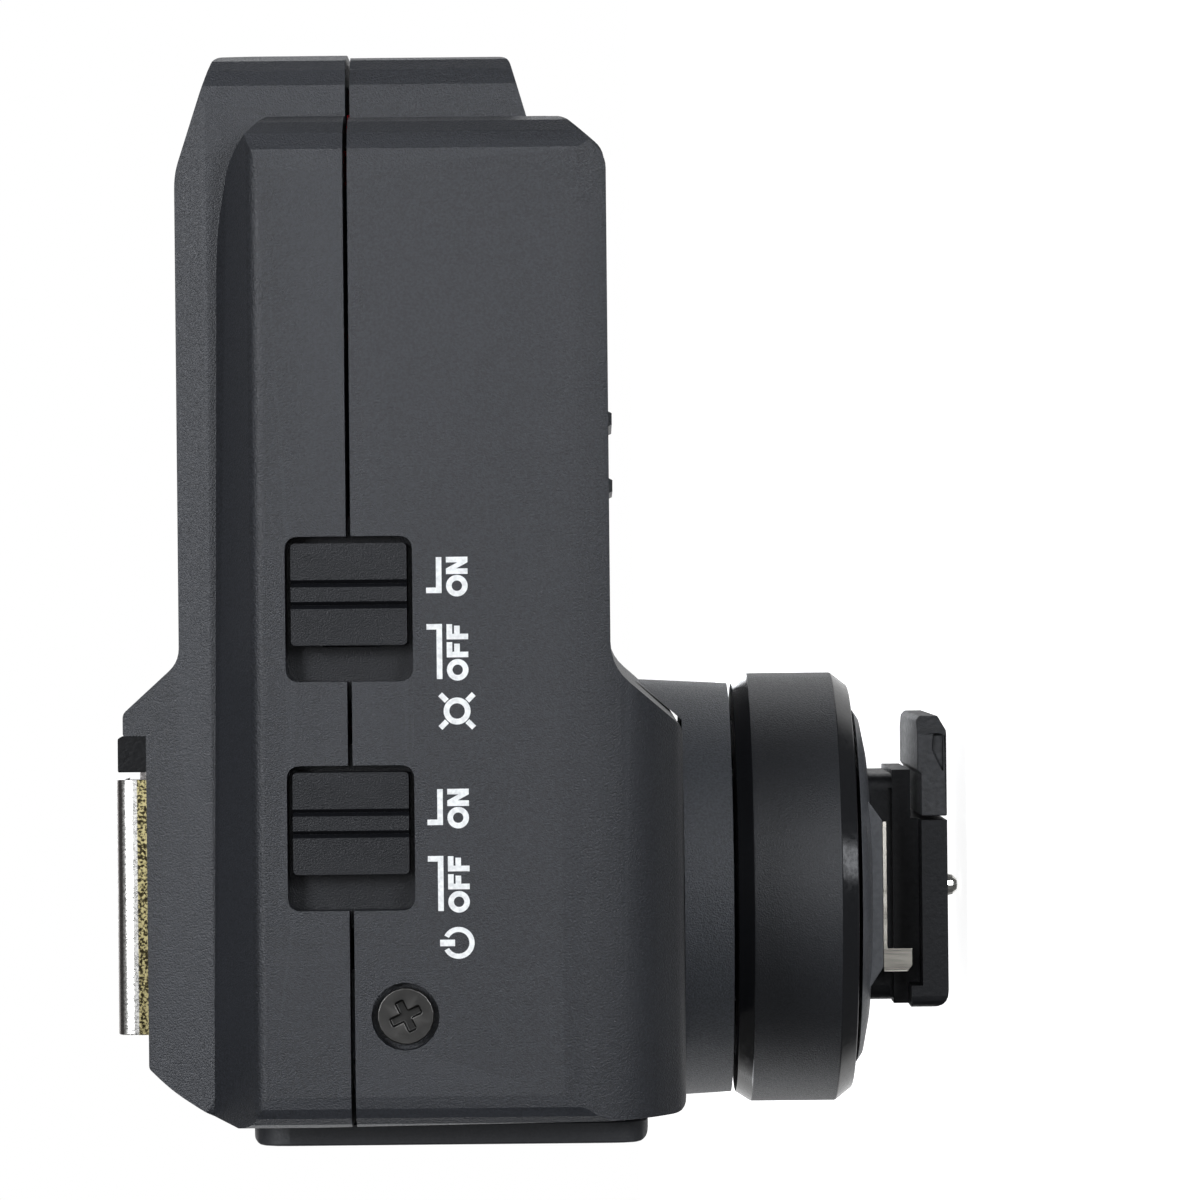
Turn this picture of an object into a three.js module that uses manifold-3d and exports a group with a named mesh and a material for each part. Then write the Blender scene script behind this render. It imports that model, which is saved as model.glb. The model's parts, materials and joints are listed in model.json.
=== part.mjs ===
// Wireless flash trigger: a radio transmitter that sits in a camera's hot shoe and carries a hot shoe.
// Units are millimetres. +Z is up out of the camera's shoe, +Y points at the subject, +X is the side
// with the two slide switches. The origin is the centre of the foot plate's underside.
import * as THREE from "three";
import { mergeVertices } from "three/addons/utils/BufferGeometryUtils.js";
import Module from "manifold-3d";

const wasm = await Module();
wasm.setup();

// ---------- Driving dimensions ----------
const GAP = 0.3; // clearance between neighbouring pieces
const WALL = 1.8; // casing wall
const HALF_WIDTH = 35; // side panels
const CORE_HALF_WIDTH = 31; // nose, control face and shoe ridge
const CORE_DRAFT = 1.4; // what the core loses on each side from the shoulder up to the ridge
const BASE_HALF_WIDTH = 30;
const REAR_Y = -15.2;
const FRONT_Y = 50.05; // front end of the side panels, bottom shell
const TOP_FRONT_Y = 50.35; // and top shell, which stands a little proud at the seam
const NOSE_Y = 54.35;
const TOP_NOSE_Y = 54.73;
const REAR_BASE_Z = 18.85; // underside of the rear block
const FRONT_BASE_Z = 23.55; // underside of the battery bay
const SHOULDER_LOW_Z = 46.4;
const SHOULDER_HIGH_Z = 49.7;
const CONTROL_RIM_Z = 51.8;
const CONTROL_FLOOR_Z = 50.9;
const SHOE_FACE_Z = 54.05;
const RIDGE_Z = 55.6;
const SEAM_Z = 40.4;
const BASE_CURVE_Z = 25.6; // where the side panels start to curve in to the base
const SLOPE_REAR_Y = 10.2; // slope from the rear block up to the battery bay
const SLOPE_FRONT_Y = 14.3;

const PLATE_WIDTH = 18.6; // standard accessory-shoe foot
const PLATE_REAR_Y = -10.25;
const PLATE_FRONT_Y = 10.2;
const PLATE_THICKNESS = 1.8;
const BLOCK_REAR_Y = 3.2; // start of the contact block in the foot
const BLOCK_TOP_Z = 2.05;
const STOP_LIP_Y = -8.7; // the plate is thicker behind this
const COLUMN_TOP_Z = 3.65;
const NECK_WIDTH = 12; // passes the 12.5 mm slot of a shoe
const NECK_REAR_Y = -10;
const NECK_FRONT_Y = 6.05;
const NECK_TOP_Z = 22;

const AXIS_Y = -2.2; // axis of the lock ring, contact pin and collar, at X = 0
const RING_RADIUS = 15.4;
const RING_BASE_Z = 6.5;
const RING_TOP_Z = 14.85;
const COLLAR_RADIUS = 14.7;
const COLLAR_FLARE = 0.35; // gained towards the casing
const CLAMP_TOP_Z = 6.15;
const CLAMP_BASE_Z = 5.05;
const STEEL_THICKNESS = 0.25;

const RAIL_HALF_WIDTH = 10.7; // flash shoe on top
const RAIL_TOP_Z = 58.2;
const RAIL_REAR_Y = -11.5;
const RAIL_FRONT_Y = 6.35;
const RAIL_THICKNESS = 0.6;
const STOP_REAR_Y = 6.85; // stop block at the front of the shoe
const SHOE_SLOT = 12.6;
const SHOE_FLOOR_Z = 55.5;

const WELL_HEIGHT = 8.22; // switch wells, along Z
const WELL_LENGTH = 9.37; // along Y
const KNOB_HEIGHT = 7.5;
const KNOB_LENGTH = 6.6;
const SWITCH_TRAVEL = 1.9;
const SWITCHES = { power: 3.38, assist: 18.16 }; // Y of each well's centre

const BUTTON_TOP_Z = 51.5;
const DIAL = { x: 22, y: 33.8, radius: 6.4, bore: 3.2 };
const DISPLAY = { x: -3.5, y: 33.8, width: 32, height: 20 };
const GROUP_BUTTONS = { x: -25.2, y: 24.6, pitch: 4.6, count: 5, width: 6, height: 3.2 };
const FUNCTION_BUTTONS = { x: -15.5, y: 20.2, pitch: 8, count: 4, width: 6.4, height: 3 };
const TEST_BUTTON = { x: 8, z: 34, radius: 3.4 };
const ASSIST_WINDOW = { width: 22, height: 11.6, corner: 2.4 };
const STATUS_LAMP = { x: -8, z: 34, radius: 1.2 };

const CELL_RADIUS = 7;
const CELL_LENGTH = 49.2;
const CELL_Z = 32.3;
const CELLS = { rear: 24.5, front: 38.8 }; // Y of each cell's axis
const BAY_HALF_WIDTH = 28;
const TRAY_HALF_WIDTH = 29;
const DOOR_TOP_Z = 28.6;

const SCREW_HEAD = 1.84; // radii of the casing screws
const SCREW_RECESS = 2.2;
const SCREW_SHANK = 0.9;
const SHANK_HOLE = 1.2;
const SIDE_SCREW = { y: -8.15, z: 37, turn: -0.45 }; // turn: where the tightened head came to rest
const CASE_SCREWS = [[-25.5, -9], [25.5, -9], [-25.5, 8], [25.5, 8]];
const SHOE_SCREWS = [[-5.4, -7.4], [5.4, 2.6]];

const USB = { y: 9, z: 33, width: 9, height: 3.2 };
const JACK = { y: -2, z: 33, radius: 2.8, bore: 1.3 };

const LARGE_ROUND = 96; // sides of a large turned piece
const SMALL_ROUND = 20;

// ---------- Shape helpers ----------
// A closed outline through corners [a, b] or [a, b, setback]; a setback is where the rounding starts.
function outline(corners) {
  const shape = new THREE.Shape();
  const vectors = corners.map(([a, b]) => new THREE.Vector2(a, b));
  const count = corners.length;
  corners.forEach(([, , setback = 0], i) => {
    const corner = vectors[i];
    const back = vectors[(i + count - 1) % count].clone().sub(corner).setLength(setback).add(corner);
    const ahead = vectors[(i + 1) % count].clone().sub(corner).setLength(setback).add(corner);
    if (i === 0) shape.moveTo(back.x, back.y);
    else shape.lineTo(back.x, back.y);
    if (setback > 0) shape.quadraticCurveTo(corner.x, corner.y, ahead.x, ahead.y);
  });
  shape.closePath();
  return shape;
}

function rectangle(width, height, setback = 0, a = 0, b = 0) {
  return outline([
    [a - width / 2, b - height / 2, setback],
    [a + width / 2, b - height / 2, setback],
    [a + width / 2, b + height / 2, setback],
    [a - width / 2, b + height / 2, setback],
  ]);
}

function solidOf(geometry) {
  geometry.deleteAttribute("normal");
  geometry.deleteAttribute("uv");
  const merged = mergeVertices(geometry, 1e-4);
  return new wasm.Manifold(
    new wasm.Mesh({
      numProp: 3,
      vertProperties: merged.attributes.position.array,
      triVerts: new Uint32Array(merged.index.array),
    }),
  );
}

function extrusion(shape, depth) {
  return new THREE.ExtrudeGeometry(shape, { depth, curveSegments: 5, bevelEnabled: false });
}

// An outline in (Y, Z) from x0 to x1.
function alongX(shape, x0, x1) {
  const bar = extrusion(shape, x1 - x0).rotateX(Math.PI / 2).rotateZ(Math.PI / 2);
  return solidOf(bar.translate(x0, 0, 0));
}

// An outline in (X, Z) from y0 to y1.
function alongY(shape, y0, y1) {
  return solidOf(extrusion(shape, y1 - y0).rotateX(Math.PI / 2).translate(0, y1, 0));
}

// An outline in (X, Y) from z0 to z1.
function alongZ(shape, z0, z1) {
  return solidOf(extrusion(shape, z1 - z0).translate(0, 0, z0));
}

function box([x0, x1], [y0, y1], [z0, z1]) {
  const block = new THREE.BoxGeometry(x1 - x0, y1 - y0, z1 - z0);
  return solidOf(block.translate((x0 + x1) / 2, (y0 + y1) / 2, (z0 + z1) / 2));
}

// A profile of [radius, height] points, out along the bottom, up and back in, turned about an axis.
function turned(profile, axis, [x, y, z], sides = SMALL_ROUND) {
  const points = profile.map(([radius, height]) => new THREE.Vector2(radius, height));
  const body = new THREE.LatheGeometry(points, sides);
  if (axis === "z") body.rotateX(Math.PI / 2);
  if (axis === "x") body.rotateZ(-Math.PI / 2);
  return solidOf(body.translate(x, y, z));
}

function rod(radius, from, to, axis, place, sides = SMALL_ROUND) {
  return turned([[0, from], [radius, from], [radius, to], [0, to]], axis, place, sides);
}

function washer(outer, inner, from, to, axis, place, sides = SMALL_ROUND) {
  const profile = [[inner, from], [outer, from], [outer, to], [inner, to], [inner, from]];
  return turned(profile, axis, place, sides);
}

function join(first, ...rest) {
  return rest.reduce((whole, piece) => whole.add(piece), first);
}

function cut(first, ...rest) {
  return rest.reduce((whole, piece) => whole.subtract(piece), first);
}

const AT_AXIS = [0, AXIS_Y, 0];

// ---------- Materials ----------
function finish(color, roughness, metalness = 0) {
  return new THREE.MeshStandardMaterial({ color, roughness, metalness });
}

const casingPlastic = finish(0x33363a, 0.62);
const smoothPlastic = finish(0x1f2225, 0.4);
const ringPlastic = finish(0x202225, 0.5);
const footPlastic = finish(0x1b1d20, 0.55);
const knobPlastic = finish(0x26282c, 0.5);
const buttonRubber = finish(0x2b2d30, 0.75);
const clearPlastic = finish(0x15181b, 0.08);
const redPlastic = finish(0x5a0a0c, 0.12);
const lampPlastic = finish(0xd8dcd6, 0.25);
const steel = finish(0xc9c6bd, 0.25, 1);
const goldPlate = finish(0xc8a85a, 0.25, 1);
const blackScrew = finish(0x17181a, 0.35, 0.8);
const boardGreen = finish(0x1c5a36, 0.5);
const partBlack = finish(0x1a1a1a, 0.5);
const displayGlass = finish(0x6f7d6a, 0.2);
const cellJacket = finish(0x9a8a3c, 0.35, 0.3);

// ---------- Casing ----------
// The wide body with both side panels: side view, front view and plan, each bounding the block.
function wideBody() {
  const side = outline([
    [REAR_Y + 0.2, REAR_BASE_Z, 0.9],
    [SLOPE_REAR_Y, REAR_BASE_Z, 0.6],
    [SLOPE_FRONT_Y, FRONT_BASE_Z, 1.6],
    [FRONT_Y - 2.75, FRONT_BASE_Z, 0.8],
    [FRONT_Y, FRONT_BASE_Z + 3, 0.9],
    [FRONT_Y, SEAM_Z],
    [TOP_FRONT_Y, SEAM_Z],
    [TOP_FRONT_Y, SHOULDER_LOW_Z - 0.8, 0.8],
    [TOP_FRONT_Y - 2.75, SHOULDER_HIGH_Z - 1.7, 1.5],
    [TOP_FRONT_Y - 7.85, SHOULDER_HIGH_Z - 0.75, 2.2],
    [REAR_Y + 0.3, SHOULDER_HIGH_Z],
    [REAR_Y - 0.3, SHOULDER_HIGH_Z - 1.8],
  ]);
  const front = outline([
    [-BASE_HALF_WIDTH, REAR_BASE_Z, 1],
    [BASE_HALF_WIDTH, REAR_BASE_Z, 1],
    [HALF_WIDTH - 1.4, BASE_CURVE_Z - 4, 2.4],
    [HALF_WIDTH, BASE_CURVE_Z, 1.2],
    [HALF_WIDTH, SHOULDER_LOW_Z, 0.6],
    [CORE_HALF_WIDTH, SHOULDER_HIGH_Z],
    [-CORE_HALF_WIDTH, SHOULDER_HIGH_Z],
    [-HALF_WIDTH, SHOULDER_LOW_Z, 0.6],
    [-HALF_WIDTH, BASE_CURVE_Z, 1.2],
    [1.4 - HALF_WIDTH, BASE_CURVE_Z - 4, 2.4],
  ]);
  const plan = outline([
    [-HALF_WIDTH, REAR_Y - 0.3, 2.2],
    [HALF_WIDTH, REAR_Y - 0.3, 2.2],
    [HALF_WIDTH, TOP_FRONT_Y, 3.9],
    [-HALF_WIDTH, TOP_FRONT_Y, 3.9],
  ]);
  const fromSide = alongX(side, -HALF_WIDTH, HALF_WIDTH);
  const fromFront = alongY(front, REAR_Y - 1, FRONT_Y + 1);
  return fromSide.intersect(fromFront).intersect(alongZ(plan, 0, RIDGE_Z));
}

// The narrower middle: nose, control face, ridge, shoe platform and the slope down to the rear.
function coreBody() {
  const side = outline([
    [REAR_Y + 2, 28.6],
    [49.9, 28.6],
    [NOSE_Y, 29.9, 0.6],
    [NOSE_Y, SEAM_Z],
    [TOP_NOSE_Y, SEAM_Z],
    [TOP_NOSE_Y - 0.2, 49.2, 0.5],
    [46.7, CONTROL_RIM_Z, 0.9],
    [14.8, CONTROL_RIM_Z, 0.9],
    [11.4, RIDGE_Z, 0.3],
    [9.95, RIDGE_Z, 0.15],
    [9.95, SHOE_FACE_Z],
    [-11.85, SHOE_FACE_Z, 0.2],
    [-13.3, 52.5, 1.2],
    [-15.1, 49.6, 1.2],
    [REAR_Y - 0.4, 46.5],
    [REAR_Y + 2, 44],
  ]);
  const plan = outline([
    [-CORE_HALF_WIDTH, REAR_Y - 0.6, 2],
    [CORE_HALF_WIDTH, REAR_Y - 0.6, 2],
    [CORE_HALF_WIDTH, TOP_NOSE_Y, 3.6],
    [-CORE_HALF_WIDTH, TOP_NOSE_Y, 3.6],
  ]);
  const front = outline([
    [-CORE_HALF_WIDTH, FRONT_BASE_Z],
    [CORE_HALF_WIDTH, FRONT_BASE_Z],
    [CORE_HALF_WIDTH, SHOULDER_HIGH_Z],
    [CORE_HALF_WIDTH - CORE_DRAFT, RIDGE_Z + 1],
    [CORE_DRAFT - CORE_HALF_WIDTH, RIDGE_Z + 1],
    [-CORE_HALF_WIDTH, SHOULDER_HIGH_Z],
  ]);
  const bar = alongX(side, -CORE_HALF_WIDTH, CORE_HALF_WIDTH);
  const drafted = bar.intersect(alongY(front, REAR_Y - 1, TOP_NOSE_Y + 1));
  return drafted.intersect(alongZ(plan, 0, RIDGE_Z + 1));
}

function switchWells() {
  return Object.values(SWITCHES).map((y) => {
    const opening = rectangle(WELL_LENGTH, WELL_HEIGHT, 0.9, y, SEAM_Z);
    return alongX(opening, HALF_WIDTH - WALL - 1, HALF_WIDTH + 1);
  });
}

function assistWindowOpening() {
  const { width, height, corner } = ASSIST_WINDOW;
  return alongY(rectangle(width + 2 * GAP, height + 2 * GAP, corner, 0, SEAM_Z), NOSE_Y - 3, NOSE_Y + 1);
}

// The places and sizes of a row of buttons that runs in the direction [dx, dy].
function buttonRow({ x, y, pitch, count, width, height }, [dx, dy]) {
  return Array.from({ length: count }, (_, i) => ({
    x: x + i * pitch * dx,
    y: y + i * pitch * dy,
    width,
    height,
  }));
}

const groupPads = buttonRow(GROUP_BUTTONS, [0, 1]);
const functionPads = buttonRow(FUNCTION_BUTTONS, [1, 0]);

function topShell(outer) {
  const inner = HALF_WIDTH - WALL;
  const coreInner = CORE_HALF_WIDTH - WALL;
  const wideCavity = alongY(
    outline([
      [-inner, SEAM_Z - 1],
      [inner, SEAM_Z - 1],
      [inner, 44.9],
      [coreInner, 47.4],
      [-coreInner, 47.4],
      [-inner, 44.9],
    ]),
    REAR_Y + WALL,
    FRONT_Y - WALL,
  );
  const coreCavity = alongX(
    outline([
      [REAR_Y + WALL, SEAM_Z - 1],
      [NOSE_Y - WALL, SEAM_Z - 1],
      [NOSE_Y - WALL, 48.3],
      [46.3, CONTROL_FLOOR_Z - WALL],
      [15.4, CONTROL_FLOOR_Z - WALL],
      [10.5, SHOE_FACE_Z - WALL],
      [-11, SHOE_FACE_Z - WALL],
      [REAR_Y + WALL, 48.8],
    ]),
    -coreInner,
    coreInner,
  );
  const recess = alongZ(rectangle(58.4, 27.7, 2, 0, 31.15), CONTROL_FLOOR_Z, CONTROL_RIM_Z + 1);
  const windowHole = alongZ(
    rectangle(DISPLAY.width + 2 * GAP, DISPLAY.height + 2 * GAP, 1.2, DISPLAY.x, DISPLAY.y),
    45,
    CONTROL_RIM_Z,
  );
  const padHoles = [...groupPads, ...functionPads].map(({ x, y, width, height }) =>
    alongZ(rectangle(width + 2 * GAP, height + 2 * GAP, 1, x, y), 45, CONTROL_RIM_Z),
  );
  const dialHole = rod(DIAL.radius + GAP, 45, CONTROL_RIM_Z, "z", [DIAL.x, DIAL.y, 0], 32);
  const shoeHoles = SHOE_SCREWS.map(([x, y]) => rod(SHANK_HOLE, 50, 56, "z", [x, y, 0], 12));
  const shell = cut(
    outer.intersect(box([-50, 50], [-50, 80], [SEAM_Z + GAP / 2, 80])),
    wideCavity,
    coreCavity,
    recess,
    windowHole,
    ...padHoles,
    dialHole,
    ...shoeHoles,
    ...switchWells(),
    assistWindowOpening(),
  );
  const posts = CASE_SCREWS.map(([x, y]) =>
    washer(2.4, SHANK_HOLE, 25, SHOE_FACE_Z - 1, "z", [x, y, 0], 12),
  );
  const lugs = [-1, 1].map((side) => sideLug(side));
  return join(shell, ...posts, ...lugs);
}

// The tongue that hangs from the top shell inside the bottom one and takes the side screw's thread.
function sideLug(side) {
  const span = (near, far) => (side > 0 ? [near, far] : [-far, -near]);
  const y = [SIDE_SCREW.y - 2.9, SIDE_SCREW.y + 2.9];
  const hanging = box(span(29.5, 32.8), y, [SIDE_SCREW.z - 2.6, 44]);
  const root = box(span(29.5, HALF_WIDTH - 1), y, [SEAM_Z + 0.6, 44]);
  const hole = rod(SHANK_HOLE, -HALF_WIDTH, HALF_WIDTH, "x", [0, SIDE_SCREW.y, SIDE_SCREW.z], 12);
  return hanging.add(root).subtract(hole);
}

function bottomShell(outer) {
  const inner = HALF_WIDTH - WALL;
  const coreInner = CORE_HALF_WIDTH - WALL;
  const sideCavity = alongX(
    outline([
      [REAR_Y + 2, REAR_BASE_Z + WALL],
      [SLOPE_REAR_Y - 0.8, REAR_BASE_Z + WALL],
      [SLOPE_FRONT_Y - 0.8, FRONT_BASE_Z + WALL],
      [47.2, FRONT_BASE_Z + WALL],
      [FRONT_Y - WALL, 26.4],
      [FRONT_Y - WALL, SEAM_Z + 1],
      [REAR_Y + 2, SEAM_Z + 1],
    ]),
    -inner,
    inner,
  );
  const frontCavity = alongY(
    outline([
      [-28.2, REAR_BASE_Z + WALL],
      [28.2, REAR_BASE_Z + WALL],
      [inner, 26.2],
      [inner, SEAM_Z + 1],
      [-inner, SEAM_Z + 1],
      [-inner, 26.2],
    ]),
    REAR_Y,
    FRONT_Y,
  );
  const noseCavity = box([-coreInner, coreInner], [FRONT_Y - 3, NOSE_Y - WALL], [31.5, SEAM_Z + 1]);
  const bay = box([-BAY_HALF_WIDTH, BAY_HALF_WIDTH], [17.3, 60], [0, 26]);
  const bayFront = box([-BAY_HALF_WIDTH, BAY_HALF_WIDTH], [46, 60], [0, DOOR_TOP_Z + GAP]);
  const spigotHole = rod(10.7, 10, 25, "z", AT_AXIS, LARGE_ROUND);
  const shell = cut(
    outer.intersect(box([-50, 50], [-50, 80], [0, SEAM_Z - GAP / 2])),
    sideCavity.intersect(frontCavity),
    noseCavity,
    bay,
    bayFront,
    spigotHole,
    ...switchWells(),
    assistWindowOpening(),
  );
  const tubes = CASE_SCREWS.map(([x, y]) => rod(2.9, 19.5, 24.6, "z", [x, y, 0], 12));
  const recesses = CASE_SCREWS.map(([x, y]) => rod(SCREW_RECESS, 18, 20.3, "z", [x, y, 0], 20));
  const holes = CASE_SCREWS.map(([x, y]) => rod(SHANK_HOLE, 18, 26, "z", [x, y, 0], 12));
  const sideAt = [0, SIDE_SCREW.y, SIDE_SCREW.z];
  const outerX = HALF_WIDTH + 1;
  const seatX = HALF_WIDTH - 1.1;
  const usbHole = alongX(rectangle(USB.width + 0.6, USB.height + 0.6, 1.7, USB.y, USB.z), -outerX, -32);
  return cut(
    join(shell, ...tubes),
    ...recesses,
    ...holes,
    rod(SCREW_RECESS, seatX, outerX, "x", sideAt, 20),
    rod(SCREW_RECESS, -outerX, -seatX, "x", sideAt, 20),
    rod(SHANK_HOLE, 32, outerX, "x", sideAt, 12),
    rod(SHANK_HOLE, -outerX, -32, "x", sideAt, 12),
    usbHole,
    rod(JACK.radius + GAP, -outerX, -32, "x", [0, JACK.y, JACK.z], 20),
    rod(TEST_BUTTON.radius + 1, REAR_Y - 1, -12, "y", [TEST_BUTTON.x, 0, TEST_BUTTON.z], 20),
    rod(STATUS_LAMP.radius + GAP, REAR_Y - 1, -12, "y", [STATUS_LAMP.x, 0, STATUS_LAMP.z], 12),
  );
}

// ---------- Rear panel ----------
const PANEL_REAR_Y = -17.4;
const PANEL_FRONT_Y = -15.95;
const PANEL_BASE_Z = 21.35;
const PANEL_TOP_Z = 47.6;
const PANEL_HALF_WIDTH = 27;

function rearPanel() {
  const plate = alongX(
    outline([
      [PANEL_REAR_Y, PANEL_BASE_Z, 0.8],
      [PANEL_FRONT_Y, PANEL_BASE_Z],
      [PANEL_FRONT_Y, PANEL_TOP_Z],
      [PANEL_REAR_Y, PANEL_TOP_Z, 0.8],
    ]),
    -PANEL_HALF_WIDTH,
    PANEL_HALF_WIDTH,
  );
  const height = PANEL_TOP_Z - PANEL_BASE_Z;
  const face = rectangle(2 * PANEL_HALF_WIDTH, height, 2.5, 0, PANEL_BASE_Z + height / 2);
  const corners = alongY(face, -20, -10);
  const lampHole = rod(STATUS_LAMP.radius + GAP, -20, -10, "y", [STATUS_LAMP.x, 0, STATUS_LAMP.z], 12);
  const buttonHole = rod(TEST_BUTTON.radius + GAP, -20, -10, "y", [TEST_BUTTON.x, 0, TEST_BUTTON.z], 28);
  return cut(plate.intersect(corners), lampHole, buttonHole);
}

function testButton() {
  const { x, z, radius } = TEST_BUTTON;
  const rim = [[radius, -17], [radius, -15.6], [radius + 0.6, -15.6]];
  const profile = [[0, -17.15], [radius - 0.7, -17.3], ...rim];
  return turned([...profile, [radius + 0.6, -14.8], [0, -14.8]], "y", [x, 0, z], 28);
}

function statusLamp() {
  const { x, z, radius } = STATUS_LAMP;
  const profile = [[0, -17.4], [radius * 0.7, -17.25], [radius, -16.9], [radius, -13], [0, -13]];
  return turned(profile, "y", [x, 0, z], 16);
}

// ---------- Nose ----------
function assistWindow() {
  const { width, height, corner } = ASSIST_WINDOW;
  return alongY(rectangle(width, height, corner, 0, SEAM_Z), NOSE_Y - 1.6, NOSE_Y - 0.1);
}

function assistLed() {
  return turned([[0, 48.6], [2.5, 48.6], [2.5, 50.9], [1.6, 51.9], [0, 52.2]], "y", [0, 0, 44], 12);
}

// ---------- Foot, collar, ring and clamp ----------
function neckOutline(grow) {
  const width = NECK_WIDTH + 2 * grow;
  const length = NECK_FRONT_Y - NECK_REAR_Y + 2 * grow;
  return rectangle(width, length, 1.1, 0, (NECK_FRONT_Y + NECK_REAR_Y) / 2);
}

function foot() {
  const plateSide = outline([
    [PLATE_REAR_Y, 0, 1.2],
    [BLOCK_REAR_Y - GAP, 0],
    [BLOCK_REAR_Y - GAP, PLATE_THICKNESS],
    [STOP_LIP_Y, PLATE_THICKNESS],
    [STOP_LIP_Y, PLATE_THICKNESS + 0.8],
    [PLATE_REAR_Y, PLATE_THICKNESS + 0.8],
  ]);
  const platePlan = rectangle(PLATE_WIDTH, -2 * PLATE_REAR_Y, 0.8);
  const plate = alongX(plateSide, -PLATE_WIDTH / 2, PLATE_WIDTH / 2).intersect(alongZ(platePlan, -1, 5));
  const half = NECK_WIDTH / 2;
  const columnBack = box([-half, half], [NECK_REAR_Y - 0.2, BLOCK_REAR_Y - GAP], [1.5, COLUMN_TOP_Z]);
  const columnLength = [BLOCK_REAR_Y - 1, NECK_FRONT_Y + 0.3];
  const columnFront = box([-half, half], columnLength, [BLOCK_TOP_Z + GAP, COLUMN_TOP_Z]);
  const neck = alongZ(neckOutline(0), 3, NECK_TOP_Z);
  const grooves = [-1, 1].map((side) => {
    const cutter = box([0, 1], [NECK_REAR_Y, NECK_FRONT_Y - 1], [COLUMN_TOP_Z, COLUMN_TOP_Z + 0.25]);
    return cutter.translate([side > 0 ? half - 0.35 : -half - 0.65, 0, 0]);
  });
  const guide = rod(1.15, -1, 3, "z", AT_AXIS, 12);
  const chamber = rod(2, 2, 6.2, "z", AT_AXIS, 12);
  const wireway = rod(1, 6, NECK_TOP_Z + 1, "z", AT_AXIS, 8);
  return cut(join(plate, columnBack, columnFront, neck), guide, chamber, wireway, ...grooves);
}

function footContactBlock() {
  const side = outline([
    [BLOCK_REAR_Y, 0],
    [PLATE_FRONT_Y - 1, 0],
    [PLATE_FRONT_Y, 0.5],
    [PLATE_FRONT_Y, BLOCK_TOP_Z - 0.25],
    [PLATE_FRONT_Y - 0.3, BLOCK_TOP_Z],
    [6.4, BLOCK_TOP_Z],
    [6.1, PLATE_THICKNESS],
    [BLOCK_REAR_Y, PLATE_THICKNESS],
  ]);
  const half = PLATE_WIDTH / 2;
  const plan = outline([
    [-half, BLOCK_REAR_Y],
    [half, BLOCK_REAR_Y],
    [half, PLATE_FRONT_Y - 1.2],
    [half - 1.6, PLATE_FRONT_Y],
    [1.6 - half, PLATE_FRONT_Y],
    [-half, PLATE_FRONT_Y - 1.2],
  ]);
  const block = alongX(side, -half, half).intersect(alongZ(plan, -1, 5));
  const pocket = outline([[6.3, 0.25], [8.9, 0.25], [8.9, 0.9], [7.9, 1]]);
  const depth = 0.35;
  return cut(block, alongX(pocket, half - depth, half + 1), alongX(pocket, -half - 1, depth - half));
}

function contactPin() {
  const dome = [[0, -1.43], [0.42, -1.33], [0.73, -1.02], [0.83, -0.6]];
  return turned([...dome, [0.83, 2.3], [1.6, 2.3], [1.6, 2.9], [0, 2.9]], "z", AT_AXIS, 16);
}

function contactSpring() {
  return washer(1.5, 0.9, 3.1, 5.9, "z", AT_AXIS, 10);
}

function clampDisc() {
  const rim = [[0, CLAMP_BASE_Z], [6.8, CLAMP_BASE_Z], [10.1, 5.35], [12.1, 5.75], [12.7, CLAMP_TOP_Z]];
  const disc = turned([...rim, [0, CLAMP_TOP_Z]], "z", AT_AXIS, LARGE_ROUND);
  const padSide = outline([[-9, 5.6], [-7.4, 4.55], [2.9, 4.55], [4.4, 5.6]]);
  const pads = alongX(padSide, -9, 9);
  return cut(disc.add(pads), alongZ(neckOutline(GAP), 0, 10));
}

function clampPlate(side) {
  const span = (near, far) => (side > 0 ? [near, far] : [-far, -near]);
  const strip = box(span(6.5, 8.8), [-7.7, 2.8], [4.5 - STEEL_THICKNESS, 4.5]);
  const tabSide = outline([[-7.7, 4.4], [-7.7, 2.8], [-7.3, 2.48], [-6.1, 2.48], [-6.1, 4.4]]);
  return strip.add(alongX(tabSide, ...span(8.8 - STEEL_THICKNESS, 8.8)));
}

function lockRing() {
  const bore = 12.3;
  return turned(
    [
      [bore, RING_BASE_Z],
      [RING_RADIUS - 0.95, RING_BASE_Z],
      [RING_RADIUS, RING_BASE_Z + 1.2],
      [RING_RADIUS, RING_TOP_Z - 1.1],
      [RING_RADIUS - 0.7, RING_TOP_Z],
      [bore, RING_TOP_Z],
      [bore, RING_BASE_Z],
    ],
    "z",
    AT_AXIS,
    LARGE_ROUND,
  );
}

function camSleeve() {
  return washer(12, 10.1, RING_BASE_Z, RING_TOP_Z, "z", AT_AXIS, 32);
}

// A flared collar under the casing. In front of the casing's slope it rises higher, to meet the slope.
function neckCollar() {
  const base = RING_TOP_Z + GAP;
  const top = REAR_BASE_Z - GAP;
  const crest = 21.6;
  const wall = [[COLLAR_RADIUS, base], [COLLAR_RADIUS + COLLAR_FLARE, crest]];
  const tube = turned([[0, base], ...wall, [0, crest]], "z", AT_AXIS, LARGE_ROUND);
  const underCasing = outline([
    [-30, top],
    [SLOPE_REAR_Y - 0.1, top],
    [SLOPE_REAR_Y + 3.65, top + 4.3],
    [-30, top + 4.3],
  ]);
  const spigot = rod(10.4, base, 20.5, "z", AT_AXIS, LARGE_ROUND);
  const collar = tube.subtract(alongX(underCasing, -20, 20)).add(spigot);
  return collar.subtract(alongZ(neckOutline(GAP), 10, 30));
}

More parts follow.
